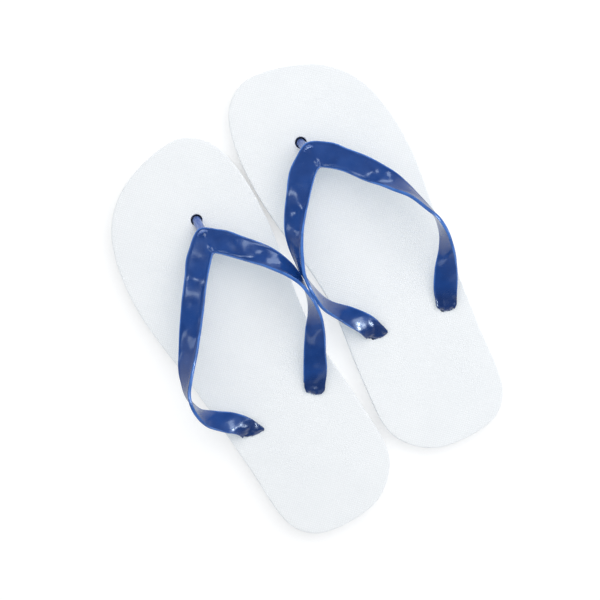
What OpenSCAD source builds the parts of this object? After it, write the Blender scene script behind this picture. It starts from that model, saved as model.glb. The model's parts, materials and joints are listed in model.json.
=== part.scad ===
// A pair of flip flops: two foam soles, each of two bonded layers, and two one-piece
// moulded straps whose three plugs are pulled through holes in the soles.
// X runs across the pair, Y towards the toes and Z up. The origin is the middle of the
// pair's box, on the floor. Each shoe is drawn as a right shoe about the middle of its
// sole, with X towards the little toe, and the left shoe is its mirror image.

/* [Sole] */
// Length of a sole from heel to toe, which scales the outline and the straps
sole_length = 270; // [240:5:300]
// Thickness of the soft upper foam layer
footbed_t = 5; // [4:0.5:8]
// Thickness of the firmer lower foam layer
outsole_t = 10; // [8:0.5:14]
// Depth of the cross grooves in the underside
groove_depth = 1; // [0.5:0.1:1.5]
// Width of a cross groove
groove_w = 2; // [1:0.5:3]
// Distance from one cross groove to the next
groove_pitch = 9; // [6:1:14]
// Where the sole bends under the ball of the foot, ahead of its middle
flex_y = 48; // [44:1:52]

/* [Strap] */
// Width of a strap arm
strap_w = 15; // [13:0.5:16]
// Thickness of a strap arm
strap_t = 2.2; // [2:0.1:2.2]
// Diameter of the post between the toes
post_d = 5.5; // [5:0.5:6]
// Diameter of the stem below the rear end of a strap arm
stem_d = 8; // [7:0.5:8.5]
// Diameter of the plugs that hold the strap under the sole
plug_d = 22; // [18:1:24]
// Thickness of a plug
plug_t = 3; // [2:0.5:4]

/* [Holes] */
// Diameter of the hole for the toe post
post_hole_d = 7.5; // [7:0.5:8]
// Diameter of the holes for the rear stems
stem_hole_d = 9; // [9:0.5:10]
// Space all round a plug in its recess
plug_space = 1; // [0.5:0.1:1.5]

/* [Pair] */
// Distance between the middles of the two soles, across the pair
pair_across = 103.9; // [103.9:0.1:160]
// How far the right shoe stands ahead of the left one
pair_ahead = 12.2; // [0:0.2:20]
// How far each shoe is turned with its toe towards the other, in degrees
toe_in = 0.57; // [0:0.01:0.6]

/* [Hidden] */

sole_t = footbed_t + outsole_t;
// The shapes below are drawn for a 270 mm sole
size_k = sole_length / 270;
strap_k = strap_w / 15;
recess_d = plug_d + 2 * plug_space;
recess_h = plug_t + plug_space;
// Half the width of a block that cuts right across a sole, and how far cuts run past its faces
reach = sole_length;
over = 1;
white_foam = [0.93, 0.95, 0.97];
blue_vinyl = [0.13, 0.25, 0.52];

// Middles of the three holes
toe_hole = [-9.8, 82.8] * size_k;
inner_hole = [-26.3, -49] * size_k;
outer_hole = [21.5, -54.6] * size_k;

// The sole's outline, anticlockwise from the tip: inner side, heel, outer side
rim_points = [
    [-20, 135], [-40, 124], [-49, 97], [-50, 57], [-43, -12], [-49, -75], [-49, -110], [-31, -130],
    [-5, -135], [17, -131], [29, -116], [34, -75], [42, -12], [51, 52], [44, 98], [22, 123]
] * size_k;
// Straight steps between two outline points
rim_steps = 7;

// Each strap runs from its inner hole over the V to its outer hole. A station holds a
// point on each edge of the band, as [x, y, height, x, y, height], heights above the footbed.
// The first edge is the upper one where an arm stands on edge, and the inner one at the V.
left_stations = [
    [-29.8, -49.9, 2.2, -22.3, -49.9, 2],
    [-35, -45.3, 6, -22.5, -41.4, 3],
    [-44, -30.6, 16, -30.6, -26.3, 9],
    [-50.4, -15.7, 24, -39.5, -11.8, 14],
    [-52.2, -4.8, 30, -46, -3.9, 17],
    [-52.3, 3.1, 32.5, -49.7, 4, 18],
    [-50.8, 11.9, 33, -51.4, 12.9, 18],
    [-46.8, 20.7, 32, -51.9, 22.8, 18],
    [-34.2, 36, 27, -45, 42.6, 18.5],
    [-21.5, 48.2, 21.5, -31.6, 58.9, 17],
    [-12.6, 56.4, 17.5, -20.2, 70, 13.5],
    [-10.2, 57.8, 16.5, -9.1, 76.3, 11.5],
    [-8.2, 56.4, 17.5, 4.1, 66.3, 13.5],
    [0.4, 45.8, 21.5, 13.2, 53.5, 17.5],
    [13.5, 26.7, 26.5, 26.4, 33.2, 20],
    [27.5, 7.3, 31.5, 38.7, 11.9, 21],
    [39, -6.7, 34, 45.2, -2.9, 20.5],
    [44.9, -15.5, 33.5, 46.9, -13.8, 19],
    [47, -25.4, 31, 44.6, -24.7, 16.5],
    [44.6, -36.4, 24, 36.3, -31.2, 13],
    [36.7, -46.2, 15, 26.1, -37.8, 8.5],
    [30.2, -52.2, 7, 18.3, -46.4, 4],
    [25.4, -56, 2.2, 17.9, -55.5, 2]
];
right_stations = [
    [-30.3, -49.9, 2.2, -22.6, -50.4, 2],
    [-35.1, -44.3, 7, -21.9, -40.4, 4],
    [-42.6, -30.2, 18, -32.2, -25.9, 9],
    [-48.5, -17.8, 26, -43.1, -15.4, 13],
    [-50, -6, 31, -47.7, -5, 16.5],
    [-49.2, 4.8, 32.5, -49.3, 5.9, 17.5],
    [-45.8, 14.6, 32, -49.5, 17.7, 18],
    [-36.9, 30.3, 28.5, -46.6, 36.5, 19],
    [-24.5, 45.6, 23, -35.3, 55.8, 18.5],
    [-10.6, 60.2, 18.5, -18.9, 74.1, 15],
    [-7.6, 61.8, 18, -6.9, 79.9, 13.5],
    [-5, 60.6, 18.5, 5.4, 73.5, 15],
    [2.7, 54.2, 21, 14, 64, 18],
    [13.4, 40.6, 25, 25.2, 49.6, 21.5],
    [24.9, 28.2, 30, 34.2, 32.5, 19],
    [32.9, 18.3, 33, 37.6, 20.2, 19],
    [37.9, 8.2, 34, 40.3, 8.8, 19],
    [41.8, -1.1, 33.5, 42.2, -0.1, 18.5],
    [43.5, -9.9, 31.5, 40.9, -8.5, 17],
    [42.3, -22.2, 26.5, 34.8, -18.9, 14.5],
    [38.1, -37.2, 15.5, 25.5, -30.4, 9.5],
    [31.6, -49.8, 6.5, 18.3, -43.4, 4],
    [25.9, -56.5, 2.2, 18.1, -55.5, 2]
];
// Steps between two stations
strap_steps = 3;
// Which station of each strap is the V
left_v = 11;
right_v = 10;
// Where the toe post meets the V, and its height above the footbed
left_post_top = [-9.6, 71, 13.2];
right_post_top = [-7.7, 74.2, 15.2];
// Height above the footbed at which the toe post starts to lean
post_bend_z = 3;
// Height above the footbed of the rounded knuckle at each rear end
knuckle_z = 1.2;
// How much wider a knuckle is than the rod below it
knuckle_extra = 0.8;
// The V is thicker than the arms by this share, which fades within this distance of it
v_extra = 0.65;
v_reach = 14;
// Flat cut at the long corners of the band, as a share of its thickness
band_corner = 0.28;

// ---- curves ----

// Point between a and b on a cubic curve that leaves a along ta and reaches b along tb
function cubic(a, ta, b, tb, u) =
    a * (2 * u ^ 3 - 3 * u ^ 2 + 1) + ta * (u ^ 3 - 2 * u ^ 2 + u)
    + b * (3 * u ^ 2 - 2 * u ^ 3) + tb * (u ^ 3 - u ^ 2);

// Direction of the curve at point c, between its neighbours a and b
function heading(a, c, b) = (b - a) / (norm(c - a) + norm(b - c));

// Smooth closed curve through points
function closed_curve(p, steps) = [
    for (i = [0 : len(p) - 1])
        let (
            n = len(p),
            a = p[(i + n - 1) % n],
            b = p[i],
            c = p[(i + 1) % n],
            d = p[(i + 2) % n],
            span = norm(c - b)
        )
        for (k = [0 : steps - 1])
            cubic(b, heading(a, b, c) * span, c, heading(b, c, d) * span, k / steps)
];

// Smooth open curve through points, from the first to the last
function open_curve(p, steps) = [
    for (i = [0 : len(p) - 2])
        let (
            a = p[max(i - 1, 0)],
            b = p[i],
            c = p[i + 1],
            d = p[min(i + 2, len(p) - 1)],
            span = norm(c - b),
            last = i == len(p) - 2 ? 0 : 1
        )
        for (k = [0 : steps - last])
            cubic(b, heading(a, b, c) * span, c, heading(b, c, d) * span, k / steps)
];

function unit(v) = v / norm(v);

// ---- placing the two shoes ----

rim = closed_curve(rim_points, rim_steps);
function turned(p, angle) = [p.x * cos(angle) - p.y * sin(angle), p.x * sin(angle) + p.y * cos(angle)];
left_rim = [for (p = rim) turned([-p.x, p.y], -toe_in)];
right_rim = [for (p = rim) turned(p, toe_in) + [pair_across, pair_ahead]];
pair_x = [for (p = concat(left_rim, right_rim)) p.x];
pair_y = [for (p = concat(left_rim, right_rim)) p.y];
left_middle = -[min(pair_x) + max(pair_x), min(pair_y) + max(pair_y)] / 2;
right_middle = left_middle + [pair_across, pair_ahead];

module left_shoe() {
    translate([left_middle.x, left_middle.y, 0])
        rotate([0, 0, -toe_in])
            mirror([1, 0, 0])
                children();
}

module right_shoe() {
    translate([right_middle.x, right_middle.y, 0])
        rotate([0, 0, toe_in])
            children();
}

// ---- sole ----

// Everything behind the bend, or everything ahead of it
module half_space(ahead) {
    translate([-reach, ahead ? flex_y : flex_y - 2 * reach, -over])
        cube([2 * reach, 2 * reach, sole_t + 2 * over]);
}

module sole_holes() {
    translate([toe_hole.x, toe_hole.y, -over])
        cylinder(d = post_hole_d, h = sole_t + 2 * over, $fn = 48);
    for (hole = [inner_hole, outer_hole])
        translate([hole.x, hole.y, -over])
            cylinder(d = stem_hole_d, h = sole_t + 2 * over, $fn = 48);
    for (hole = [toe_hole, inner_hole, outer_hole])
        translate([hole.x, hole.y, -over])
            cylinder(d = recess_d, h = recess_h + over, $fn = 64);
}

// Cross grooves of the tread, kept off the bend line
module grooves() {
    last = floor(sole_length / 2 / groove_pitch);
    for (i = [-last : last])
        translate([-reach, flex_y % groove_pitch + (i + 0.5) * groove_pitch - groove_w / 2, -over])
            cube([2 * reach, groove_w, groove_depth + over]);
}

module footbed(ahead) {
    color(white_foam)
        difference() {
            intersection() {
                translate([0, 0, outsole_t])
                    linear_extrude(footbed_t)
                        polygon(rim);
                half_space(ahead);
            }
            sole_holes();
        }
}

module outsole(ahead) {
    color(white_foam)
        difference() {
            intersection() {
                linear_extrude(outsole_t)
                    polygon(rim);
                half_space(ahead);
            }
            sole_holes();
            grooves();
        }
}

// ---- strap ----

// A band's cross-section about mid: a flat oblong whose four long corners are cut
function band_ring(mid, across, up, half_w, half_t) =
    let (corner = half_t * 2 * band_corner)
    [
        for (c = [
            [half_w, half_t - corner], [half_w - corner, half_t],
            [corner - half_w, half_t], [-half_w, half_t - corner],
            [-half_w, corner - half_t], [corner - half_w, -half_t],
            [half_w - corner, -half_t], [half_w, corner - half_t]
        ])
            mid + across * c.x + up * c.y
    ];

// The flat band of a strap, swept through its stations
module band(stations, v_station) {
    path = open_curve(stations * size_k, strap_steps);
    lift = [0, 0, sole_t];
    top_edge = [for (s = path) [s[0], s[1], s[2]] + lift];
    low_edge = [for (s = path) [s[3], s[4], s[5]] + lift];
    mid = (top_edge + low_edge) / 2;
    n = len(path);
    v_mid = mid[v_station * strap_steps];
    rings = [
        for (i = [0 : n - 1])
            let (
                across = unit(low_edge[i] - top_edge[i]),
                along = mid[min(i + 1, n - 1)] - mid[max(i - 1, 0)],
                half_w = norm(low_edge[i] - top_edge[i]) / 2 * strap_k,
                half_t = strap_t / 2 * (1 + v_extra * exp(-((norm(mid[i] - v_mid) / v_reach) ^ 2)))
            )
            band_ring(mid[i], across, unit(cross(along, across)), half_w, half_t)
    ];
    sides = len(rings[0]);
    polyhedron(
        points = [for (ring = rings) each ring],
        faces = concat(
            [[for (k = [0 : sides - 1]) k]],
            [
                for (i = [0 : n - 2])
                    for (k = [0 : sides - 1])
                        let (
                            a = i * sides + k,
                            b = i * sides + (k + 1) % sides
                        )
                        each [[a, b + sides, b], [a, a + sides, b + sides]]
            ],
            [[for (k = [0 : sides - 1]) n * sides - 1 - k]]
        )
    );
}

// Round rod between two points
module rod(from, to, d) {
    v = to - from;
    translate(from)
        rotate([0, acos(v.z / norm(v)), atan2(v.y, v.x)])
            cylinder(d = d, h = norm(v), $fn = 32);
}

// Plug under the sole, the stem above it and the knuckle at height top
module plug(hole, d, top) {
    translate([hole.x, hole.y, recess_h - plug_t])
        cylinder(d = plug_d, h = plug_t, $fn = 64);
    translate([hole.x, hole.y, recess_h - plug_t / 2])
        cylinder(d = d, h = top - recess_h + plug_t / 2, $fn = 32);
    translate([hole.x, hole.y, top])
        sphere(d = d + knuckle_extra, $fn = 32);
}

module strap(stations, v_station, post_top) {
    bend = [toe_hole.x, toe_hole.y, sole_t + post_bend_z];
    color(blue_vinyl)
        union() {
            band(stations, v_station);
            plug(inner_hole, stem_d, sole_t + knuckle_z);
            plug(outer_hole, stem_d, sole_t + knuckle_z);
            plug(toe_hole, post_d, bend.z);
            rod(bend, post_top * size_k + [0, 0, sole_t], post_d);
        }
}

module left_footbed_rear() { left_shoe() footbed(false); }
module left_footbed_toe() { left_shoe() footbed(true); }
module left_outsole_rear() { left_shoe() outsole(false); }
module left_outsole_toe() { left_shoe() outsole(true); }
module left_strap() { left_shoe() strap(left_stations, left_v, left_post_top); }
module right_footbed_rear() { right_shoe() footbed(false); }
module right_footbed_toe() { right_shoe() footbed(true); }
module right_outsole_rear() { right_shoe() outsole(false); }
module right_outsole_toe() { right_shoe() outsole(true); }
module right_strap() { right_shoe() strap(right_stations, right_v, right_post_top); }

left_footbed_rear();
left_footbed_toe();
left_outsole_rear();
left_outsole_toe();
left_strap();
right_footbed_rear();
right_footbed_toe();
right_outsole_rear();
right_outsole_toe();
right_strap();
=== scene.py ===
import json
import math

import bmesh
import bpy
import numpy as np
from mathutils import Matrix, Vector, noise
from mathutils.geometry import delaunay_2d_cdt
from mathutils.kdtree import KDTree


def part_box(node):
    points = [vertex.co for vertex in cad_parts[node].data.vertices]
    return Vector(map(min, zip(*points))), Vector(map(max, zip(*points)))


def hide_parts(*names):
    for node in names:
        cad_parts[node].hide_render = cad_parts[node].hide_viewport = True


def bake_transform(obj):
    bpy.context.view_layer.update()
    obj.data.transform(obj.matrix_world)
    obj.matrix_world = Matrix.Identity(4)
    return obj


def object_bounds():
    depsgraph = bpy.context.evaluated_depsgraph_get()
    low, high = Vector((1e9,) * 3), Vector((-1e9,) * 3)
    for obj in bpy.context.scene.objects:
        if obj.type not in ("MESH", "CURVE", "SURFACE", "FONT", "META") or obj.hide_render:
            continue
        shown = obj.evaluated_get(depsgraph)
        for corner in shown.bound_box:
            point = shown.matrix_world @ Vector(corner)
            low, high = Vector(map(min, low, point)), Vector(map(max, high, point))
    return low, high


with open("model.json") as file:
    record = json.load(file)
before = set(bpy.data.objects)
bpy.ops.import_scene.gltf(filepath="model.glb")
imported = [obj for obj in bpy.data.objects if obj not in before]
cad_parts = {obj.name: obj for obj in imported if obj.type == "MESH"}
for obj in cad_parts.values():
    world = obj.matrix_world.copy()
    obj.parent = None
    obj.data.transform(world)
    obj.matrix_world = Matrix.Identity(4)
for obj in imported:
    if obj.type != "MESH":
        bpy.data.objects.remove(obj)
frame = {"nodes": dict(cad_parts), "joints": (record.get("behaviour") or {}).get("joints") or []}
cad_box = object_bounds()

# ---------------------------------------------------------------- sizes

MM = 0.001
# Sole length at which the lengths below are given
DESIGN_LENGTH = 270

# Holes through the sole, as places in the shoe's frame: x to the little toe, y to the toes
TOE_HOLE = (-9.8, 82.8)
INNER_HOLE = (-26.3, -49)
OUTER_HOLE = (21.5, -54.6)
TOE_HOLE_R = 3.75
REAR_HOLE_R = 4.5
# Recess under each hole, and the clear height of the plug's wide disc above it
RECESS_R = 12
RECESS_H = 4

# Where the sole and the strap bend, along the shoe
BEND_FROM = 24
BEND_TO = 72

# The CAD footbed's rim: how flat its top is, and how clear of the holes it is looked for
TOP_TOLERANCE = 0.01
HOLE_CLEARANCE = 1.5
# The outline's resampling
OUTLINE_STEP = 1.5
OUTLINE_SMOOTHING = 6

# Grids that carry the wide faces: spacing, and distance kept from the edges
FOOTBED_GRID = (3.0, 1.8)
PLAIN_GRID = (9, 2)
# Rings of points round each hole on the footbed's top, by how far past the hole's edge
HOLE_RINGS = (1.6, 2.8, 4.2)
HOLE_RING_POINTS = 40
GRID_FROM_HOLE = 5

# Rounded edges: the footbed's top edge, the seam between the layers, and the holes' lips
TOP_EDGE_R = 0.9
LAYER_EDGE_R = 0.22
LIP_R = 0.7
LIP_DEPTH = 3
EDGE_ANGLES = (0, 22, 45, 68, 90)
# Angles past which an edge is shaded sharp
FOAM_SHARP = 35
STRAP_SHARP = 40
# Loops round the sides: depths below the footbed's top, and heights of the outsole
FOOTBED_SIDE = (2.2, 3.5)
OUTSOLE_SIDE = (2.2, 4, 6, 8)

# The footbed's slow unevenness (height, length), and its pull-down by the holes (depth, reach)
FOOTBED_WAVE = (0.08, 34)
HOLE_PULL = (0.45, 3.2)
FOOTBED_SEED = {"left": 3, "right": 7}
# The foam closed up behind a rear end: distance from the hole's middle, and its unevenness
MOUTH_POINTS = 64
CLOSED_TO = 2.9
MOUTH_UNEVEN = 0.6
MOUTH_NOISE_STEP = 0.45
MOUTH_SEED = {"left": 3, "right": 8}
# Distance between the rows of the footbed's emboss
EMBOSS_PITCH = 1.9

# Grooves across the underside, and the rounding of its edge
GROOVE_FIRST = 7.5
GROOVE_PITCH = 9
GROOVE_FLOOR = 1.7
GROOVE_SLOPE = 0.3
GROOVE_DEPTH = 1
GROOVE_COUNT = 14
SOLE_EDGE_R = 0.5
RECESS_POINTS = 96
OUTSOLE_HOLE_POINTS = 48

# Strap band: spacing of its sections, half thickness, and how it thickens round the V
BAND_STEP = 0.8
BAND_HALF_T = 1.0
V_EXTRA = 0.6
V_REACH = 13
# Edge of the band: distance in from the side, and height above the band's middle
RIM = [(0, 0.5), (0.1, 0.85), (0.3, 1.08), (0.6, 1.2), (0.95, 1.22), (1.35, 1.13), (1.8, 1.02)]
WEB_POINTS = 9

# Stems, toe post and plugs
STEM_R = 3.9
POST_R = 2.8
PLUG_R = 11
PLUG_T = 3
# The rear stem's flare above its plug: height above the plug, and growth of its radius
STEM_FLARE = ((0.6, 1), (0.02, 1.12), (0, 1.3))
# Rounding of the rear plugs' edges, above and below: height, and share of the stem's radius
REAR_PLUG_TOP = (0.3, 0.1)
REAR_PLUG_LOW = (0.5, 0.14)
# The same for the toe plug, as height and width, and the flare where the post meets it
TOE_PLUG_TOP = (0.3, 0.4)
TOE_PLUG_LOW = (0.5, 0.5)
POST_FOOT = 0.9
# The post's bend: height against the footbed's top, set back from the hole, and length of curve
POST_BEND_H = -1
POST_SET_BACK = 0.8
POST_BEND_LENGTH = 3.2
# The post's widening into the band: how much, and from which share of its height
POST_FLARE = 0.35
POST_FLARE_FROM = 0.35
POST_POINTS = 40

# Distance from the V that is given to the rear ends, past the reach of every mark at the V
FAR_FROM_V = 1000
# Where a rear end starts down its hole: distance past the hole's middle, height above the
# footbed, half width
END_START = (-3.4, 3.2, 6.8)
# The way down the hole: distance past its middle, height, steepness in degrees, half width,
# half thickness, roundness
END_PATH = [
    (-2.3, 2.75, 26, 6.8, 1.05, 0), (-0.8, 2.05, 36, 6.5, 1.2, 0.05),
    (0.3, 1.15, 55, 5.5, 1.4, 0.15), (0.9, 0.2, 72, 4.3, 1.7, 0.3),
    (1.0, -0.9, 84, 3.5, 2.1, 0.5), (0.7, -2.2, 90, 3.4, 2.6, 0.85), (0, -3.8, 90, 3.8, 3.7, 1),
]
END_SECTIONS = 26
# How far each rear end reaches ahead on the side of the band's inner edge, against its other
# side, as a share of its width; and the heights between which this fades in and out
END_SLANT = {"left_inner": 0.1, "left_outer": -0.75, "right_inner": -0.6, "right_outer": 0.0}
SLANT_ABOVE = (3.3, 1.7)
SLANT_BELOW = (-2.2, -0.4)
# Steepness in degrees over which the folds and the even waves of a rear end die out
FOLD_ENDS = (60, 90)
CALM_ENDS = (40, 85)

# Unevenness of the soft band: height, length along and length across of its broad waves,
# its small waves, and the folds by the rear ends
WAVE = (0.36, 12, 13)
RIPPLE = (0.03, 5.5, 5)
FOLD = (0.6, 5.6, 3.6)
FOLD_REACH = 12
# How much of the waves is missing at the V, and how far that reaches
V_CALM = (0.75, 13)
# Sideways sway of the folds, and the jagged edge where a rear end meets the foam
SWAY = (0.12, 3.4, 9)
JAG = (1.2, 2.1, 5)
SWAY_SEED = 30
JAG_SEED = 60
# Small dents and swellings spread over each band: count, height, least and most radius, spread
DIMPLES = 4
DIMPLE_HEIGHT = 0.16
DIMPLE_R = (1.7, 3.3)
DIMPLE_ACROSS = 8
DIMPLE_ALONG = (0.08, 0.92)
DIMPLE_RATIOS = (0.618, 0.755, 0.570)
DIMPLE_SEED_STEP = 0.137
# Dents fade out within this distance of the band's edges, and past this squared share of
# their radius
DENT_EDGE = 2
DENT_CUTOFF = 9
# Larger dents and swellings: distance along from the V, place across, radius, height
DENTS = {
    "left": [
        (-21, -0.5, 4.6, 0.5), (-37, 0.5, 2.3, -0.42), (-49, -1.5, 2.7, 0.42),
        (26, 0.5, 4.8, 0.5), (42, -1, 3.6, -0.34), (64, 1, 5.0, 0.46), (-88, 0, 3.6, 0.34),
        (112, 1.5, 2.6, -0.34),
    ],
    "right": [
        (-26, 0, 5.6, 0.8), (-39, 0.5, 2.8, -0.6), (-51, 1.5, 2.6, 0.4),
        (40, 0.5, 2.5, -0.44), (52, -1.5, 3.0, 0.44), (68, 0, 4.2, 0.36), (-92, 1, 3.2, -0.34),
        (112, -1, 4.4, 0.42),
    ],
}

# Marks at the V: how far they reach, then the teardrop hollow over the post (place from the
# outer edge and half length, half width and its growth, depth, soft edge) and the swelling in
# the corner (distance from the inner edge, spread, height)
V_MARK_REACH = 12
TEAR_PLACE = (4.6, 3.2)
TEAR_WIDTH = (0.9, 0.1)
TEAR_DEPTH = 0.15
TEAR_EDGE = (0.6, 1.1)
CORNER_IN = 3.2
CORNER_SPREAD = 4.5
CORNER_HEIGHT = 0.55

# Painted glow along the band's rims: how far in it is full and where it ends, at the inner and at
# the outer edge
INNER_RIM = (0.2, 0.65)
OUTER_RIM = (0.5, 1.3)
# How much the painted rim glow dims down the arms, and over which distances from the V
RIM_FADE = 0.2
RIM_FADE_OVER = (45, 85)

# ---------------------------------------------------------------- colours

# Each pair is two tints that the finish drifts between
FOOTBED_TINTS = ((0.868, 0.890, 0.908), (0.843, 0.867, 0.888))
OUTSOLE_TINTS = ((0.815, 0.840, 0.862), (0.785, 0.812, 0.838))
# Grey that the foam darkens towards, in blotches near the ground
LOW_DARKENED_FOAM = (0.62, 0.62, 0.62)
VINYL_TINTS = ((0.005, 0.042, 0.205), (0.009, 0.056, 0.252))
# The toe post's paler tints are a painted highlight, laid in lengthwise streaks
POST_HIGHLIGHT_TINTS = ((0.050, 0.120, 0.420), (0.170, 0.270, 0.590))
# Painted shade at the band's rear ends, where they go down into the holes
VINYL_TIP_SHADE = (0.005, 0.024, 0.115)
# Painted glow on the band's rims
VINYL_RIM_GLOW = (0.062, 0.200, 0.620)
# Colour of the light that passes the vinyl
VINYL_CLEAR = (0.86, 0.95, 1)
FLOOR_TINTS = ((0.598, 0.600, 0.602), (0.604, 0.606, 0.608))
SURROUND = (0.97, 0.985, 1.0)
# Painted shade in the foam's pores and between the diamonds of the emboss: how dark it is, as
# shares
PAINTED_PORE_SHADE = 0.86
PAINTED_VALLEY_SHADE = 0.82

# ---------------------------------------------------------------- light

# Share of the light that passes each side of the thin vinyl of the band and of the post
LIGHT_THROUGH = 0.6
POST_LIGHT_THROUGH = 0.1
# Glow of the pale floor, which lifts the shadows round the shoes and lights their undersides
FLOOR_GLOW = 0.43
# Brightness of the surround: as light, as seen by the camera, and shining in the straps by
# the floor and overhead
WORLD_LIGHT = 0.6
WORLD_SEEN = 0.97
LOW_SHINE = 0.26
HIGH_SHINE = 0.03
SHINE_UP_TO = 0.45
# Soft boxes: name, direction and tilt from overhead in degrees, distance, size, power
LIGHTS = [
    ("key", 16.75, 27, 1.45, (1.6, 1.6), 12.9),
    ("fill", 120, 24, 1.5, (1.4, 1.2), 3.0),
    ("near_fill", -45, 45, 0.5, (0.3, 0.3), 0.09),
]
# Cards that shine in the straps: name, direction and tilt, size in metres, brightness
CARD_DISTANCE = 1.3
CARD_TINT = (0.74, 0.88, 1.0)
CARDS = [
    ("card_high_left", 117, 43, (0.18, 0.28), 6.2),
    ("card_high_right", 56, 42, (0.26, 0.26), 5.4),
    ("card_low_right", 42, 76, (0.60, 0.30), 4.0),
    ("card_low_left", 142, 74, (0.34, 0.30), 2.4),
    ("card_heel", -30, 62, (0.50, 0.30), 5.0),
    ("card_side", -177, 76, (0.30, 0.50), 1.5),
    ("glint_ahead", 80, 54, (0.12, 0.10), 14),
    ("glint_heel", -32, 62, (0.10, 0.08), 55),
    ("glint_over", -90, 20, (0.24, 0.24), 20),
    ("card_slope", -122, 68, (0.70, 0.45), 0.7),
]

# Camera: turn about the vertical, height above the footbed, width seen there, and how far it
# stands beside the middle of the pair
VIEW_TURN = -28.23
CAMERA_HEIGHT = 1.6
SEEN_WIDTH = 0.3857
CAMERA_ASIDE = (-0.007, -0.0001)

# ---------------------------------------------------------------- strap stations

# The strap's two edges at each station, from the inner rear hole round to the outer one:
# x, y and height above the footbed of the inner edge, then of the outer edge
LEFT_BAND = [
    [-36.8, -45.6, 6, -22.6, -41.4, 3], [-44, -30.6, 16, -30.6, -26.3, 9],
    [-50.4, -15.7, 24, -39.5, -11.8, 14], [-52.2, -4.8, 30, -46, -3.9, 17],
    [-52.3, 3.1, 32.5, -49.7, 4, 18], [-50.8, 11.9, 33, -51.4, 12.9, 18],
    [-46.8, 20.7, 32, -51.9, 22.8, 18], [-34.2, 36, 27, -45, 42.6, 18.5],
    [-21.5, 48.2, 21.5, -31.6, 58.9, 17], [-12.6, 56.4, 17.5, -20.2, 70, 13.5],
    [-10.2, 57.8, 16.5, -9.1, 76.3, 11.5], [-8.2, 56.4, 17.5, 4.1, 66.3, 13.5],
    [0.4, 45.8, 21.5, 13.2, 53.5, 17.5], [13.5, 26.7, 26.5, 26.4, 33.2, 20],
    [27.5, 7.3, 31.5, 38.7, 11.9, 21], [39, -6.7, 34, 45.2, -2.9, 20.5],
    [44.9, -15.5, 33.5, 46.9, -13.8, 19], [47, -25.4, 31, 44.6, -24.7, 16.5],
    [44.6, -36.4, 24, 36.3, -31.2, 13], [36.7, -46.2, 15, 26.1, -37.8, 8.5],
    [30.2, -52.2, 7, 18.3, -46.4, 4],
]
RIGHT_BAND = [
    [-35.1, -44.3, 7, -21.9, -40.4, 4], [-42.6, -30.2, 18, -32.2, -25.9, 9],
    [-48.5, -17.8, 26, -43.1, -15.4, 13], [-50, -6, 31, -47.7, -5, 16.5],
    [-49.2, 4.8, 32.5, -49.3, 5.9, 17.5], [-45.8, 14.6, 32, -49.5, 17.7, 18],
    [-36.9, 30.3, 28.5, -46.6, 36.5, 19], [-24.5, 45.6, 23, -35.3, 55.8, 18.5],
    [-10.6, 60.2, 18.5, -18.9, 74.1, 15], [-7.6, 61.8, 18, -6.9, 79.9, 13.5],
    [-5, 60.6, 18.5, 5.4, 73.5, 15], [2.7, 54.2, 21, 14, 64, 18],
    [13.4, 40.6, 25, 25.2, 49.6, 21.5], [24.9, 28.2, 30, 34.2, 32.5, 19],
    [32.9, 18.3, 33, 37.6, 20.2, 19], [37.9, 8.2, 34, 40.3, 8.8, 19],
    [41.8, -1.1, 33.5, 42.2, -0.1, 18.5], [43.5, -9.9, 31.5, 40.9, -8.5, 17],
    [42.3, -22.2, 26.5, 34.8, -18.9, 14.5], [38.1, -37.2, 15.5, 25.5, -30.4, 9.5],
    [31.6, -49.8, 6.5, 18.3, -43.4, 4],
]
# The station at each V, and the middle of the post's top
LEFT_V = 10
RIGHT_V = 9
LEFT_POST_TOP = (-9.6, 71, 13.2)
RIGHT_POST_TOP = (-7.7, 74.2, 15.2)


# ---------------------------------------------------------------- each shoe's frame


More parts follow.
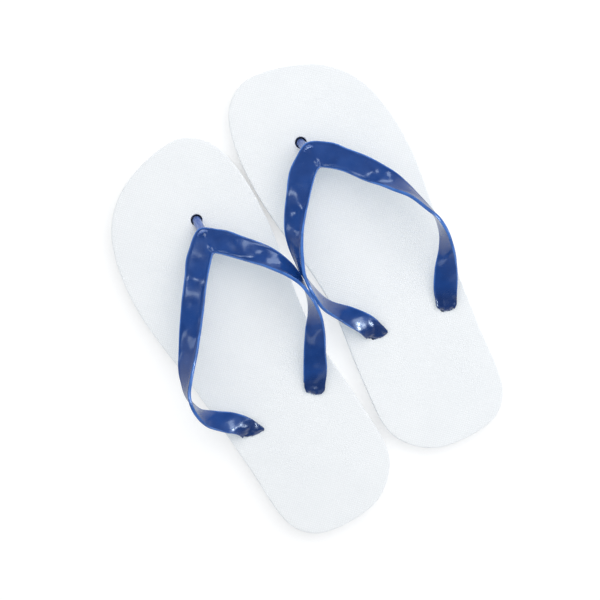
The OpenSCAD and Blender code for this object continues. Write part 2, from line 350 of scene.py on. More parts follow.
class Shoe:
    """One shoe's own frame: x towards the little toe, y towards the toes, z up from the ground."""

    def __init__(self, side, stations):
        self.side = side
        joint = next(j for j in frame["joints"] if j["name"] == f"{side}_toe_flex")
        axis = Vector(joint["axis"])
        hinge = Vector(joint["pos_m"])
        self.outward = -axis if side == "left" else axis
        self.ahead = Vector((0, 0, 1)).cross(axis)
        nodes = [frame["nodes"][f"{side}_outsole_{part}"] for part in ("rear", "toe")]
        along = [v.co.dot(self.ahead) for node in nodes for v in node.data.vertices]
        self.size = (max(along) - min(along)) / MM / DESIGN_LENGTH
        self.middle = axis * hinge.dot(axis) + self.ahead * (max(along) + min(along)) / 2
        lowest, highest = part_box(f"{side}_footbed_rear")
        self.layer_z = lowest.z / MM
        self.top_z = highest.z / MM
        self.holes = {
            "toe": (*self.scaled(TOE_HOLE), TOE_HOLE_R),
            "inner": (*self.scaled(INNER_HOLE), REAR_HOLE_R),
            "outer": (*self.scaled(OUTER_HOLE), REAR_HOLE_R),
        }

        self.stations = [self.scaled(row) for row in stations]
        self.heading = {
            name: self.heading_of(name, near)
            for name, near in (("inner", self.stations[0]), ("outer", self.stations[-1]))
        }

    def heading_of(self, name, near):
        """Level directions at a rear hole: the band's way in, and across to its inner edge."""
        inner, outer = np.array(near[0:2]), np.array(near[3:5])
        ahead = unit(np.array(self.holes[name][:2]) - (inner + outer) / 2)
        across = np.array([-ahead[1], ahead[0]])
        if across @ (inner - outer) < 0:
            across = -across
        return np.array([*ahead, 0]), np.array([*across, 0])

    def mouth(self, name):
        """A hole's outline at the footbed's top; the foam closes up behind each rear end."""
        x, y, r = self.holes[name]
        loop = circle(x, y, r, MOUTH_POINTS)
        if name not in self.heading:
            return loop
        ahead, across = self.heading[name]
        slant = END_SLANT[f"{self.side}_{name}"]
        for i, point in enumerate(loop):
            way = (point - [x, y]) / r
            gain = way @ ahead[:2] - slant * way @ across[:2]
            uneven = wander(i * MOUTH_NOISE_STEP, MOUTH_SEED[self.side], x)
            reach = CLOSED_TO + MOUTH_UNEVEN * uneven
            if gain * r > reach:
                loop[i] = [x, y] + way * reach / gain
        return loop

    def scaled(self, place):
        return [value * self.size for value in place]

    def matrix(self):
        """Takes the shoe's millimetres to the row frame's metres."""
        columns = (self.outward, self.ahead, Vector((0, 0, 1)))
        turn = Matrix([[c[row] * MM for c in columns] for row in range(3)])
        return Matrix.Translation(self.middle) @ turn.to_4x4()

    def to_local(self, point):
        """A row-frame point in the shoe's millimetres."""
        offset = (point - self.middle) / MM
        return Vector((offset.dot(self.outward), offset.dot(self.ahead), offset.z))

    def place(self, x, y, z):
        return self.matrix() @ Vector((x, y, z))


def unit(v):
    return v / np.linalg.norm(v, axis=-1, keepdims=True)


def circle(x, y, radius, count):
    turn = np.arange(count) * 2 * math.pi / count
    return np.column_stack([x + radius * np.cos(turn), y + radius * np.sin(turn)])


def wander(x, y, z):
    """Smooth noise, about -1 to 1."""
    return noise.noise(Vector((x, y, z))) * 1.6


def clear_of_holes(shoe, px, py, distance):
    """Whether a place is more than a distance past the edge of every hole."""
    return all(math.hypot(px - x, py - y) > r + distance for x, y, r in shoe.holes.values())


def outline(shoe):
    """The sole's outline: the rim of the CAD footbed's top, resampled to even, smooth steps."""
    nodes = [frame["nodes"][f"{shoe.side}_footbed_{part}"] for part in ("rear", "toe")]
    points = [shoe.to_local(v.co) for node in nodes for v in node.data.vertices]
    rim = {
        (round(p.x, 3), round(p.y, 3)) for p in points
        if abs(p.z - shoe.top_z) < TOP_TOLERANCE and clear_of_holes(shoe, p.x, p.y, HOLE_CLEARANCE)
    }
    rim = np.array(sorted(rim, key=lambda p: math.atan2(p[1], p[0])))
    closed = np.vstack([rim, rim[:1]])
    marks = np.concatenate([[0], np.cumsum(np.linalg.norm(np.diff(closed, axis=0), axis=1))])
    count = int(marks[-1] / OUTLINE_STEP)
    at = np.arange(count) * marks[-1] / count
    even = np.column_stack([np.interp(at, marks, closed[:, i]) for i in (0, 1)])
    for _ in range(OUTLINE_SMOOTHING):
        even = (np.roll(even, 1, axis=0) + 2 * even + np.roll(even, -1, axis=0)) / 4
    return even


def outward_normals(loop):
    """Unit normals of a closed anticlockwise loop, pointing out of it."""
    run = np.roll(loop, -1, axis=0) - np.roll(loop, 1, axis=0)
    run /= np.linalg.norm(run, axis=1)[:, None]
    return np.column_stack([run[:, 1], -run[:, 0]])


def with_crossings(loop, levels):
    """A closed loop with points added at each level of y, and the level each point lies on."""
    points, marks = [], []
    for a, b in zip(loop, np.roll(loop, -1, axis=0)):
        points.append(a)
        marks.append(None)
        low, high = sorted((a[1], b[1]))
        crossed = [y for y in levels if low < y < high]
        for y in sorted(crossed, reverse=a[1] > b[1]):
            share = (y - a[1]) / (b[1] - a[1])
            points.append(a + (b - a) * share)
            marks.append(y)
    return np.array(points), marks


def is_inside(points, loop):
    """Which of the points lie inside a closed loop."""
    x, y = points[:, 0:1], points[:, 1:2]
    x0, y0 = loop[:, 0], loop[:, 1]
    x1, y1 = np.roll(x0, -1), np.roll(y0, -1)
    spans = (y0 > y) != (y1 > y)
    with np.errstate(divide="ignore", invalid="ignore"):
        crossing = x0 + (y - y0) * (x1 - x0) / (y1 - y0)
    return (np.sum(spans & (x < crossing), axis=1) % 2) == 1


# ---------------------------------------------------------------- mesh helpers


class Skin:
    """A closed surface under construction, in the shoe's millimetres."""

    def __init__(self):
        self.bm = bmesh.new()

    def loop(self, flat, heights):
        heights = np.broadcast_to(heights, len(flat))
        return [self.bm.verts.new((x, y, z)) for (x, y), z in zip(flat, heights)]

    def ring(self, points):
        return [self.bm.verts.new(p) for p in points]

    def join(self, a, b):
        """A band of quads between two loops of the same length."""
        for i in range(len(a)):
            j = (i + 1) % len(a)
            self.bm.faces.new((a[i], a[j], b[j], b[i]))

    def tube(self, rings):
        """A closed tube through rings of the same length."""
        for a, b in zip(rings, rings[1:]):
            self.join(a, b)
        self.bm.faces.new(rings[0])
        self.bm.faces.new(rings[-1])

    def cap(self, rims, inside=(), lines=(), height=None):
        """Fills between the first rim and the others, with points inside and creases on lines."""
        known = [v for rim in rims for v in rim]
        flat = [Vector(v.co[:2]) for v in known] + [Vector(p) for p in inside]
        edges, start = [], 0
        for rim in rims:
            count = len(rim)
            edges += [(start + i, start + (i + 1) % count) for i in range(count)]
            start += count
        index = {v: i for i, v in enumerate(known)}
        edges += [(index[a], index[b]) for a, b in lines]
        points, _, faces, origins, _, _ = delaunay_2d_cdt(flat, edges, [], 0, 1e-6)
        centres = np.array([np.mean([points[i] for i in face], axis=0) for face in faces])
        loops = [np.array([v.co[:2] for v in rim]) for rim in rims]
        keep = is_inside(centres, loops[0])
        for loop in loops[1:]:
            keep &= ~is_inside(centres, loop)
        made = {}
        for face, kept in zip(faces, keep):
            if not kept:
                continue
            for i in face:
                if i not in made:
                    own = [o for o in origins[i] if o < len(known)]
                    p = points[i]
                    made[i] = known[own[0]] if own else self.bm.verts.new((*p, height(*p)))
            self.bm.faces.new([made[i] for i in face])

    def to_object(self, name):
        """The surface as a new object, still in the shoe's millimetres."""
        bmesh.ops.recalc_face_normals(self.bm, faces=self.bm.faces)
        mesh = bpy.data.meshes.new(name)
        self.bm.to_mesh(mesh)
        self.bm.free()
        return add_object(name, mesh)

    def finish(self, name, shoe):
        """The surface as a piece in the row frame."""
        piece = self.to_object(name)
        settle(piece, shoe, FOAM_SHARP)
        return piece


def settle(piece, shoe, sharp):
    """Keeps each point's rest place as an attribute, then moves the mesh to the row frame."""
    mesh = piece.data
    rest = np.zeros(len(mesh.vertices) * 3, np.float32)
    mesh.vertices.foreach_get("co", rest)
    attribute = mesh.attributes.new("rest_mm", "FLOAT_VECTOR", "POINT")
    attribute.data.foreach_set("vector", rest)
    mesh.transform(shoe.matrix())
    if shoe.side == "left":
        mesh.flip_normals()
    mesh.shade_smooth()
    mesh.set_sharp_from_angle(angle=math.radians(sharp))
    mesh.update()


def add_object(name, data):
    """A new object in the scene."""
    made = bpy.data.objects.new(name, data)
    bpy.context.scene.collection.objects.link(made)
    return made


def smoothstep(start, end, value):
    t = min(max((value - start) / (end - start), 0), 1)
    return t * t * (3 - 2 * t)


# ---------------------------------------------------------------- soles


def grid_inside(edge, holes, grid):
    """Grid points well inside the edge and clear of the holes."""
    step, clear = grid
    low, high = edge.min(0), edge.max(0)
    xs = np.arange(low[0], high[0], step)
    ys = np.arange(low[1], high[1], step)
    rows = [(x + (step / 2 if row % 2 else 0), y) for row, y in enumerate(ys) for x in xs]
    points = np.array(rows)
    points = points[is_inside(points, edge - outward_normals(edge) * clear)]
    for x, y, r in holes:
        points = points[np.hypot(points[:, 0] - x, points[:, 1] - y) > r + clear]
    return points


def footbed_height(shoe, x, y):
    """The footbed's top: nearly flat, drawn down round the holes where the strap pulls on it."""
    height, length = FOOTBED_WAVE
    z = shoe.top_z + height * wander(x / length, y / length, FOOTBED_SEED[shoe.side])
    depth, reach = HOLE_PULL
    for hx, hy, r in shoe.holes.values():
        away = math.hypot(x - hx, y - hy) - r
        z -= depth * math.exp(-(max(away, 0) / reach) ** 2)
    return z


def make_footbed(shoe, edge):
    """The upper foam layer, with its rounded top edge and the lips of its three holes."""
    skin = Skin()
    normals = outward_normals(edge)
    top, bottom = shoe.top_z, shoe.layer_z
    quarter = [math.radians(a) for a in EDGE_ANGLES]
    loops = []
    for a in quarter:
        flat = edge - normals * TOP_EDGE_R * (1 - math.sin(a))
        drop = TOP_EDGE_R * (1 - math.cos(a))
        heights = [footbed_height(shoe, x, y) - drop for x, y in flat]
        loops.append(skin.loop(flat, heights))
    side = [top - depth for depth in FOOTBED_SIDE]
    for z in (*side, bottom + 2 * LAYER_EDGE_R, bottom + LAYER_EDGE_R):
        loops.append(skin.loop(edge, z))
    loops.append(skin.loop(edge - normals * LAYER_EDGE_R, bottom))
    for a, b in zip(loops, loops[1:]):
        skin.join(a, b)
    top_rims, bottom_rims = [loops[0]], [loops[-1]]
    for name, (x, y, r) in shoe.holes.items():
        mouth = shoe.mouth(name)
        rims = []
        for a in quarter:
            flat = mouth + unit(mouth - [x, y]) * LIP_R * (1 - math.sin(a))
            drop = LIP_R * (1 - math.cos(a))
            rims.append(skin.loop(flat, [footbed_height(shoe, px, py) - drop for px, py in flat]))
        for z in (top - LIP_DEPTH, bottom):
            rims.append(skin.loop(circle(x, y, r, MOUTH_POINTS), z))
        for a, b in zip(rims, rims[1:]):
            skin.join(a, b)
        top_rims.append(rims[0])
        bottom_rims.append(rims[-1])
    holes = list(shoe.holes.values())
    inside = grid_inside(edge, holes, FOOTBED_GRID)
    inside = [p for p in inside if clear_of_holes(shoe, *p, GRID_FROM_HOLE)]
    for x, y, r in holes:
        for extra in HOLE_RINGS:
            inside += list(circle(x, y, r + extra, HOLE_RING_POINTS))
    skin.cap(top_rims, inside, height=lambda x, y: footbed_height(shoe, x, y))
    skin.cap(bottom_rims, grid_inside(edge, holes, PLAIN_GRID), height=lambda x, y: bottom)
    return skin.finish(f"{shoe.side}_footbed_foam", shoe)


def groove_levels(shoe):
    """The lines along the grooves, as y of each line."""
    half = GROOVE_FLOOR / 2
    steps = (-half - GROOVE_SLOPE, -half, half, half + GROOVE_SLOPE)
    centres = [GROOVE_FIRST + GROOVE_PITCH * i for i in range(-GROOVE_COUNT - 1, GROOVE_COUNT)]
    return [(c + s) * shoe.size for c in centres for s in steps]


def groove_height(shoe, y):
    """How far the underside is cut away at y."""
    away = (y / shoe.size - GROOVE_FIRST) % GROOVE_PITCH
    away = min(away, GROOVE_PITCH - away) - GROOVE_FLOOR / 2
    return GROOVE_DEPTH * min(max(1 - away / GROOVE_SLOPE, 0), 1)


def crossing_pairs(rims):
    """Pairs of rim points on the same level, joined across the material between them."""
    by_level = {}
    for verts, marks in rims:
        for v, level in zip(verts, marks):
            if level is not None:
                by_level.setdefault(level, []).append(v)
    pairs = []
    for verts in by_level.values():
        verts.sort(key=lambda v: v.co.x)
        pairs += list(zip(verts[0::2], verts[1::2]))
    return pairs


def make_outsole(shoe, edge):
    """The lower foam layer, with its grooves below and the recesses for the plugs."""
    skin = Skin()
    levels = groove_levels(shoe)
    edge, marks = with_crossings(edge, levels)
    normals = outward_normals(edge)
    notch = np.array([groove_height(shoe, y) for y in edge[:, 1]])
    layer = shoe.layer_z
    loops = [
        skin.loop(edge - normals * SOLE_EDGE_R, notch),
        skin.loop(edge - normals * SOLE_EDGE_R * 0.3, notch + SOLE_EDGE_R * 0.3),
        skin.loop(edge, notch + SOLE_EDGE_R),
    ]
    for z in (*OUTSOLE_SIDE, layer - LAYER_EDGE_R):
        loops.append(skin.loop(edge, z))
    loops.append(skin.loop(edge - normals * LAYER_EDGE_R, layer))
    for a, b in zip(loops, loops[1:]):
        skin.join(a, b)
    bottom_rims, top_rims = [(loops[0], marks)], [loops[-1]]
    for x, y, r in shoe.holes.values():
        wide, wide_marks = with_crossings(circle(x, y, RECESS_R, RECESS_POINTS), levels)
        cut = np.array([groove_height(shoe, py) for py in wide[:, 1]])
        mouth = skin.loop(wide, cut)
        roof = skin.loop(wide, RECESS_H)
        skin.join(mouth, roof)
        bore = circle(x, y, r, OUTSOLE_HOLE_POINTS)
        low = skin.loop(bore, RECESS_H)
        high = skin.loop(bore, layer)
        skin.join(low, high)
        skin.cap([roof, low])
        bottom_rims.append((mouth, wide_marks))
        top_rims.append(high)
    rims = [rim for rim, _ in bottom_rims]
    skin.cap(rims, lines=crossing_pairs(bottom_rims), height=lambda x, y: groove_height(shoe, y))
    inside = grid_inside(edge, shoe.holes.values(), PLAIN_GRID)
    skin.cap(top_rims, inside, height=lambda x, y: layer)
    return skin.finish(f"{shoe.side}_outsole_foam", shoe)


# ---------------------------------------------------------------- strap


def through(points, marks, at):
    """A smooth curve through points given at marks, read at other marks."""
    slopes = np.gradient(points, marks, axis=0)
    i = np.clip(np.searchsorted(marks, at, side="right") - 1, 0, len(marks) - 2)
    span = (marks[i + 1] - marks[i])[:, None]
    t = (at - marks[i])[:, None] / span
    return (
        (2 * t**3 - 3 * t**2 + 1) * points[i] + (t**3 - 2 * t**2 + t) * span * slopes[i]
        + (3 * t**2 - 2 * t**3) * points[i + 1] + (t**3 - t**2) * span * slopes[i + 1]
    )


def band_profile(half_w, half_t):
    """The band's cross-section, anticlockwise from its right side: two rims and a thinner web."""
    extra = half_t - BAND_HALF_T
    right = [(half_w - d, h + extra) for d, h in RIM]
    reach = half_w - RIM[-1][0]
    web = [(reach * (1 - 2 * i / (WEB_POINTS + 1)), half_t) for i in range(1, WEB_POINTS + 1)]
    left = [(-x, y) for x, y in reversed(right)]
    top = right + web + left
    flat_under = [(x, -min(y, half_t)) for x, y in reversed(top)]
    return np.array([(half_w, 0)] + top + [(-half_w, 0)] + flat_under)


def round_profile(radius_x, radius_y, count, power):
    """A rounded cross-section with as many points as the band's."""
    turn = np.arange(count) * 2 * math.pi / count
    c, s = np.cos(turn), np.sin(turn)
    return np.column_stack([
        radius_x * np.sign(c) * np.abs(c) ** power,
        radius_y * np.sign(s) * np.abs(s) ** power,
    ])


def end_station(shoe, name):
    """The band's two edges where it starts down into a rear hole."""
    past, height, half_w = END_START
    ahead, across = shoe.heading[name]
    middle = np.array([*shoe.holes[name][:2], height]) + ahead * past
    return [*(middle + across * half_w), *(middle - across * half_w)]


def band_sections(shoe, v_index):
    """The band's cross-sections from the inner rear plug round to the outer one."""
    rows = np.array([end_station(shoe, "inner")] + shoe.stations + [end_station(shoe, "outer")])
    inner, outer = rows[:, :3], rows[:, 3:]
    hops = [np.linalg.norm(np.diff(side, axis=0), axis=1) for side in (inner, outer)]
    marks = np.concatenate([[0], np.cumsum((hops[0] + hops[1]) / 2)])
    v_mark = marks[v_index + 1]
    at = np.linspace(0, marks[-1], int(marks[-1] / BAND_STEP))
    inner, outer = through(inner, marks, at), through(outer, marks, at)
    middle = (inner + outer) / 2 + np.array([0, 0, shoe.top_z])
    across = unit(inner - outer)
    up = unit(np.cross(across, unit(np.gradient(middle, axis=0))))
    half_w = np.linalg.norm(inner - outer, axis=1) / 2
    sections = []
    for i, s in enumerate(at):
        half_t = BAND_HALF_T + V_EXTRA * math.exp(-((s - v_mark) / V_REACH) ** 2)
        sections.append({
            "centre": middle[i], "across": across[i], "up": up[i],
            "profile": band_profile(half_w[i], half_t), "s": s, "from_v": s - v_mark,
            "fold": 1 - smoothstep(0, FOLD_REACH, min(s, marks[-1] - s)), "calm": 1, "slant": 0,
            "is_end": False,
        })
    first = end_sections(shoe, "inner", sections[0], -1)
    last = end_sections(shoe, "outer", sections[-1], 1)
    return first[::-1] + sections + last


def end_sections(shoe, name, start, way):
    """A rear end of the band going down its hole, then the stem and the plug below the sole."""
    ahead, across = shoe.heading[name]
    hx, hy, _ = shoe.holes[name]
    count = len(start["profile"])
    side_up = np.array([0, 0, 1.0]) if start["up"][2] > 0 else np.array([0, 0, -1.0])
    side_ahead = ahead * side_up[2]
    path = np.array(END_PATH, float)
    rows = through(path, np.arange(len(path)), np.linspace(0, len(path) - 1, END_SECTIONS))
    steps = np.diff(np.vstack([END_START[:2], rows[:, :2]]), axis=0)
    travelled = np.cumsum(np.linalg.norm(steps, axis=1))
    out = []
    for (past, height, steep, half_w, half_t, roundness), far in zip(rows, travelled):
        a = math.radians(steep)
        roundness = min(max(roundness, 0), 1)
        flat = band_profile(half_w, half_t)
        full = round_profile(half_w, half_t, count, 0.6 + 0.4 * roundness)
        slant = END_SLANT[f"{shoe.side}_{name}"]
        slant *= smoothstep(*SLANT_ABOVE, height) * smoothstep(*SLANT_BELOW, height)
        out.append({
            "centre": np.array([hx, hy, shoe.top_z + height]) + ahead * past,
            "up": side_up * math.cos(a) + side_ahead * math.sin(a),
            "profile": flat * (1 - roundness) + full * roundness, "s": start["s"] + way * far,
            "fold": 1 - smoothstep(*FOLD_ENDS, steep), "calm": 1 - smoothstep(*CALM_ENDS, steep),
            "slant": ahead * slant,
        })
    stem = round_profile(STEM_R, STEM_R, count, 1)
    low = RECESS_H - PLUG_T
    wide = PLUG_R / STEM_R
    levels = [(shoe.layer_z, 1)] + [(RECESS_H + above, grow) for above, grow in STEM_FLARE]
    levels += [(RECESS_H, wide - REAR_PLUG_TOP[1]), (RECESS_H - REAR_PLUG_TOP[0], wide)]
    levels += [(low + REAR_PLUG_LOW[0], wide), (low, wide - REAR_PLUG_LOW[1])]
    for z, grow in levels:
        out.append({
            "centre": np.array([hx, hy, z]), "up": side_ahead, "profile": stem * grow, "s": 0,
            "fold": 0, "calm": 0, "slant": 0,
        })
    for section in out:
        section.update({"across": across, "from_v": FAR_FROM_V, "is_end": True})
    return out


def dimple_places(length, seed):
    """Small dents and bumps spread over the band: place along, place across, radius, height."""
    first, last = DIMPLE_ALONG
    least, most = DIMPLE_R
    places = []
    for i in range(DIMPLES):
        a, b, c = [(seed * DIMPLE_SEED_STEP + i * ratio) % 1 for ratio in DIMPLE_RATIOS]
        places.append((
            length * (first + (last - first) * a), (b - 0.5) * DIMPLE_ACROSS,
            least + (most - least) * c, DIMPLE_HEIGHT if i % 2 else -DIMPLE_HEIGHT,
        ))
    return places


def band_lift(section, x, y, seed, dimples):
    """How far the band's surface stands off its even shape at a point of its cross-section."""
    s = section["s"]
    lift = 0
    missing, reach = V_CALM
    calm = section["calm"] * (1 - missing * math.exp(-(section["from_v"] / reach) ** 2))
    for amount, (height, along, across) in ((calm, WAVE), (calm, RIPPLE), (section["fold"], FOLD)):
        lift += amount * height * wander(s / along, x / across, seed + along)
    if y > 0 and not section["is_end"]:
        inward = smoothstep(0, DENT_EDGE, section["profile"][:, 0].max() - abs(x))
        for ds, dx, radius, height in dimples:
            away = ((s - ds) ** 2 + (x - dx) ** 2) / radius ** 2
            if away < DENT_CUTOFF:
                lift += height * inward * math.exp(-away)
        lift += v_marks(section, x)
    return lift


def v_marks(section, x):
    """The moulding's marks at the V: a teardrop hollow over the post, a swelling in the corner."""
    along = section["from_v"]
    if abs(along) > V_MARK_REACH:
        return 0
    half_w = section["profile"][:, 0].max()
    from_outer, from_inner = x + half_w, half_w - x
    place, length = TEAR_PLACE
    width, growth = TEAR_WIDTH
    tear = math.hypot(along / (width + growth * from_outer), (from_outer - place) / length)
    corner = (along ** 2 + (CORNER_IN - from_inner) ** 2) / CORNER_SPREAD
    return CORNER_HEIGHT * math.exp(-corner) - TEAR_DEPTH * (1 - smoothstep(*TEAR_EDGE, tear))


def make_band(shoe, v_index, seed):
    """The band, its stems and rear plugs as one closed skin, and where its rims and tips are."""
    skin = Skin()
    rings, marks = [], []
    sections = band_sections(shoe, v_index)
    v_s = next(section["s"] - section["from_v"] for section in sections if not section["is_end"])
    dimples = dimple_places(max(section["s"] for section in sections), seed)
    dimples += [(v_s + along, *dent) for along, *dent in DENTS[shoe.side]]
    for section in sections:
        s, fold, calm = section["s"], section["fold"], section["calm"]
        half_w = section["profile"][:, 0].max()
        # How much painted glow the rims take: less down the arms, none at the rear ends
        fade = 1 - RIM_FADE * smoothstep(*RIM_FADE_OVER, abs(section["from_v"]))
        fade *= calm * (1 - fold)
        points = []
        for x, y in section["profile"]:
            lift = band_lift(section, x, y, seed, dimples)
            width, along, across = SWAY
            sway = width * fold * wander(s / along, x / across, seed + SWAY_SEED)
            height, along, across = JAG
            jag = height * fold * (1 - calm) * wander(x / along, y / across, seed + JAG_SEED)
            p = section["centre"] + section["across"] * (x + sway)
            p = Vector(p + section["up"] * (y + lift + jag) + section["slant"] * x)
            points.append(p)
            # Each point's rim value: the painted rim glow, full near the edge and none further in
            full, gone = INNER_RIM if x > 0 else OUTER_RIM
            marks.append((p, fade * (1 - smoothstep(full, gone, half_w - abs(x))), 0.0, fold))
        rings.append(skin.ring(points))
    skin.tube(rings)
    return skin, marks


def make_post(shoe, post_top):
    """The toe post with its plug: straight up through the sole, then leaning back into the band."""
    skin = Skin()
    hx, hy, _ = shoe.holes["toe"]
    top = np.array([v * shoe.size for v in post_top]) + [0, 0, shoe.top_z]
    turn = np.array([hx, hy - POST_SET_BACK, shoe.top_z + POST_BEND_H])
    upright = np.array([0, 0, 1.0])
    lean = unit(top - turn)
    low = RECESS_H - PLUG_T
    foot = [
        (low, PLUG_R - TOE_PLUG_LOW[1]), (low + TOE_PLUG_LOW[0], PLUG_R),
        (RECESS_H - TOE_PLUG_TOP[0], PLUG_R), (RECESS_H, PLUG_R - TOE_PLUG_TOP[1]),
        (RECESS_H, POST_R + POST_FOOT), (RECESS_H + POST_FOOT, POST_R),
    ]
    path = [(np.array([hx, hy, z]), upright, radius) for z, radius in foot]
    start = turn + [0, POST_SET_BACK, -POST_BEND_LENGTH]
    end = turn + lean * POST_BEND_LENGTH
    for t in np.linspace(0, 1, 9):
        p = (1 - t) ** 2 * start + 2 * t * (1 - t) * turn + t * t * end
        direction = unit((1 - t) * (turn - start) + t * (end - turn))
        path.append((p, direction, POST_R))
    length = np.linalg.norm(top - end)
    for t in np.linspace(0.12, 1, 10):
        flare = 1 + POST_FLARE * smoothstep(POST_FLARE_FROM, 1, t)
        path.append((end + lean * length * t, lean, POST_R * flare))
    rings, marks = [], []
    side = np.array([1.0, 0, 0])
    for centre, direction, radius in path:
        fore = unit(np.cross(direction, side))
        flat = circle(0, 0, radius, POST_POINTS)
        points = [Vector(centre + side * x + fore * y) for x, y in flat]
        marks += [(p, 0.0, 1.0, 0.0) for p in points]
        rings.append(skin.ring(points))
    skin.tube(rings)
    return skin, marks


def make_strap(shoe, v_index, post_top, seed):
    """The whole strap: the band and the toe post united into one skin."""
    name = f"{shoe.side}_strap_moulding"
    parts, marks = [], []
    for skin, own in (make_band(shoe, v_index, seed), make_post(shoe, post_top)):
        parts.append(skin.to_object("strap_part"))
        marks += own
    band, post = parts
    union = band.modifiers.new("union", "BOOLEAN")
    union.operation = "UNION"
    union.solver = "MANIFOLD"
    union.object = post
    view = bpy.context.evaluated_depsgraph_get()
    mesh = bpy.data.meshes.new_from_object(band.evaluated_get(view))
    mesh.name = name
    mesh.materials.clear()
    for part in parts:
        bpy.data.objects.remove(part)
    strap = add_object(name, mesh)
    paint_marks(mesh, marks)
    settle(strap, shoe, STRAP_SHARP)
    return strap


def paint_marks(mesh, marks):
    """Gives each vertex the rim, post and tip values of the nearest point of the two skins: they
    place the painted rim glow, the post's painted highlight and the painted shade at the tips.
    """
    tree = KDTree(len(marks))
    for i, mark in enumerate(marks):
        tree.insert(mark[0], i)
    tree.balance()
    nearest = [tree.find(v.co)[1] for v in mesh.vertices]
    for column, name in ((1, "rim"), (2, "post"), (3, "tip")):
        values = np.array([marks[i][column] for i in nearest], np.float32)
        mesh.attributes.new(name, "FLOAT", "POINT").data.foreach_set("value", values)


# ---------------------------------------------------------------- materials


class Nodes:
    """A short way to write the node tree of a material or of the world."""

    def __init__(self, owner, output="OutputMaterial"):
        self.owner = owner
        owner.use_nodes = True
        self.tree = owner.node_tree
        self.tree.nodes.clear()
        self.output = self.add(output)

    def add(self, kind, **inputs):
        node = self.tree.nodes.new("ShaderNode" + kind)
        for key, value in inputs.items():
            self.set(node, key.replace("_", " "), value)
        return node

    def set(self, node, key, value):
        socket = node.inputs[int(key)] if key.isdigit() else node.inputs[key]
        if isinstance(value, bpy.types.NodeSocket):
            self.tree.links.new(value, socket)
        else:
            socket.default_value = value

    def attribute(self, name, output):
        node = self.add("Attribute")
        node.attribute_name = name
        return node.outputs[output]

    def math(self, operation, a, b=0.0):
        node = self.add("Math")
        node.operation = operation
        self.set(node, "0", a)
        self.set(node, "1", b)
        return node.outputs[0]

    def noise(self, where, scale, detail=2.0, roughness=0.5):
        node = self.add("TexNoise", Vector=where, Scale=scale, Detail=detail, Roughness=roughness)
        return node.outputs["Fac"]

    def stretched(self, where, stretch):
        return self.add("Mapping", Vector=where, Scale=stretch).outputs[0]

    def ramp(self, value, low, high, to_low=0.0, to_high=1.0):
        node = self.add("MapRange", Value=value, From_Min=low, From_Max=high,
                        To_Min=to_low, To_Max=to_high)
        return node.outputs["Result"]

    def mix(self, factor, a, b):
        """Mixes two colours, each an output or three numbers."""
        node = self.add("Mix")
        node.data_type = "RGBA"
        self.set(node, "0", factor)
        for key, colour in (("6", a), ("7", b)):
            self.set(node, key, (*colour, 1) if isinstance(colour, tuple) else colour)
        return node.outputs[2]

    def mix_shaders(self, factor, a, b):
        node = self.add("MixShader")
        for key, value in (("0", factor), ("1", a.outputs[0]), ("2", b.outputs[0])):
            self.set(node, key, value)
        return node.outputs[0]

    def bump(self, height, distance, strength=1.0, normal=None):
        node = self.add("Bump", Height=height, Distance=distance, Strength=strength)
        if normal is not None:
            self.set(node, "Normal", normal)
        return node.outputs["Normal"]

    def surface(self, shader):
        self.set(self.output, "Surface", shader)
        return self.owner


def shaded(colour, share):
    return tuple(c * share for c in colour)


def foam_material(name, tints, embossed):
    """Matt closed-cell foam: fine pores, faint mottling, diamonds on the footbed's top, painted
    shade in the pores and between the diamonds, and darker blotches near the ground.
    """
    n = Nodes(bpy.data.materials.new(name))
    tint, deep = tints
    where = n.attribute("rest_mm", "Vector")
    split = n.add("SeparateXYZ", Vector=where)
    x, y, z = split.outputs[0], split.outputs[1], split.outputs[2]
    mottle = n.noise(where, 0.035, 3.0)
    pores = n.noise(where, 2.4, 2.0, 0.6)
    colour = n.mix(n.ramp(mottle, 0.35, 0.65), tint, deep)
    # Painted shade in the pores
    pore_shade_mask = n.math("MULTIPLY", n.ramp(pores, 0.55, 0.8), 0.12)
    colour = n.mix(pore_shade_mask, colour, shaded(deep, PAINTED_PORE_SHADE))
    # Darker in blotches over the lowest 3 mm of the sole, towards the ground
    near_ground_darkening = n.math("MULTIPLY", n.ramp(z, 3.0, 0.0), n.ramp(n.noise(where, 0.22, 4.0), 0.45, 0.7))
    colour = n.mix(n.math("MULTIPLY", near_ground_darkening, 0.35), colour, LOW_DARKENED_FOAM)
    height = n.math("MULTIPLY", pores, 0.35)
    if embossed:
        facing = n.add("SeparateXYZ", Vector=n.add("NewGeometry").outputs["True Normal"]).outputs[2]
        waves = math.pi / EMBOSS_PITCH
        a = n.math("SINE", n.math("MULTIPLY", n.math("ADD", x, y), waves))
        b = n.math("SINE", n.math("MULTIPLY", n.math("SUBTRACT", x, y), waves))
        diamonds = n.math("MAXIMUM", n.math("ABSOLUTE", a), n.math("ABSOLUTE", b))
        diamonds = n.math("MULTIPLY", diamonds, n.ramp(facing, 0.8, 0.95))
        # Painted shade between the diamonds of the emboss
        valley_shade_mask = n.math("MULTIPLY", n.ramp(diamonds, 0.55, 1.0), 0.42)
        colour = n.mix(valley_shade_mask, colour, shaded(tint, PAINTED_VALLEY_SHADE))
        height = n.math("ADD", height, diamonds)
    normal = n.bump(height, 0.00018, 0.8)
    rough = n.ramp(n.noise(where, 0.3, 2.0), 0.3, 0.7, 0.72, 0.86)
    shader = n.add("BsdfPrincipled", Base_Color=colour, Roughness=rough, Normal=normal)
    n.set(shader, "Specular IOR Level", 0.3)
    n.set(shader, "Sheen Weight", 0.08)
    return n.surface(shader.outputs[0])


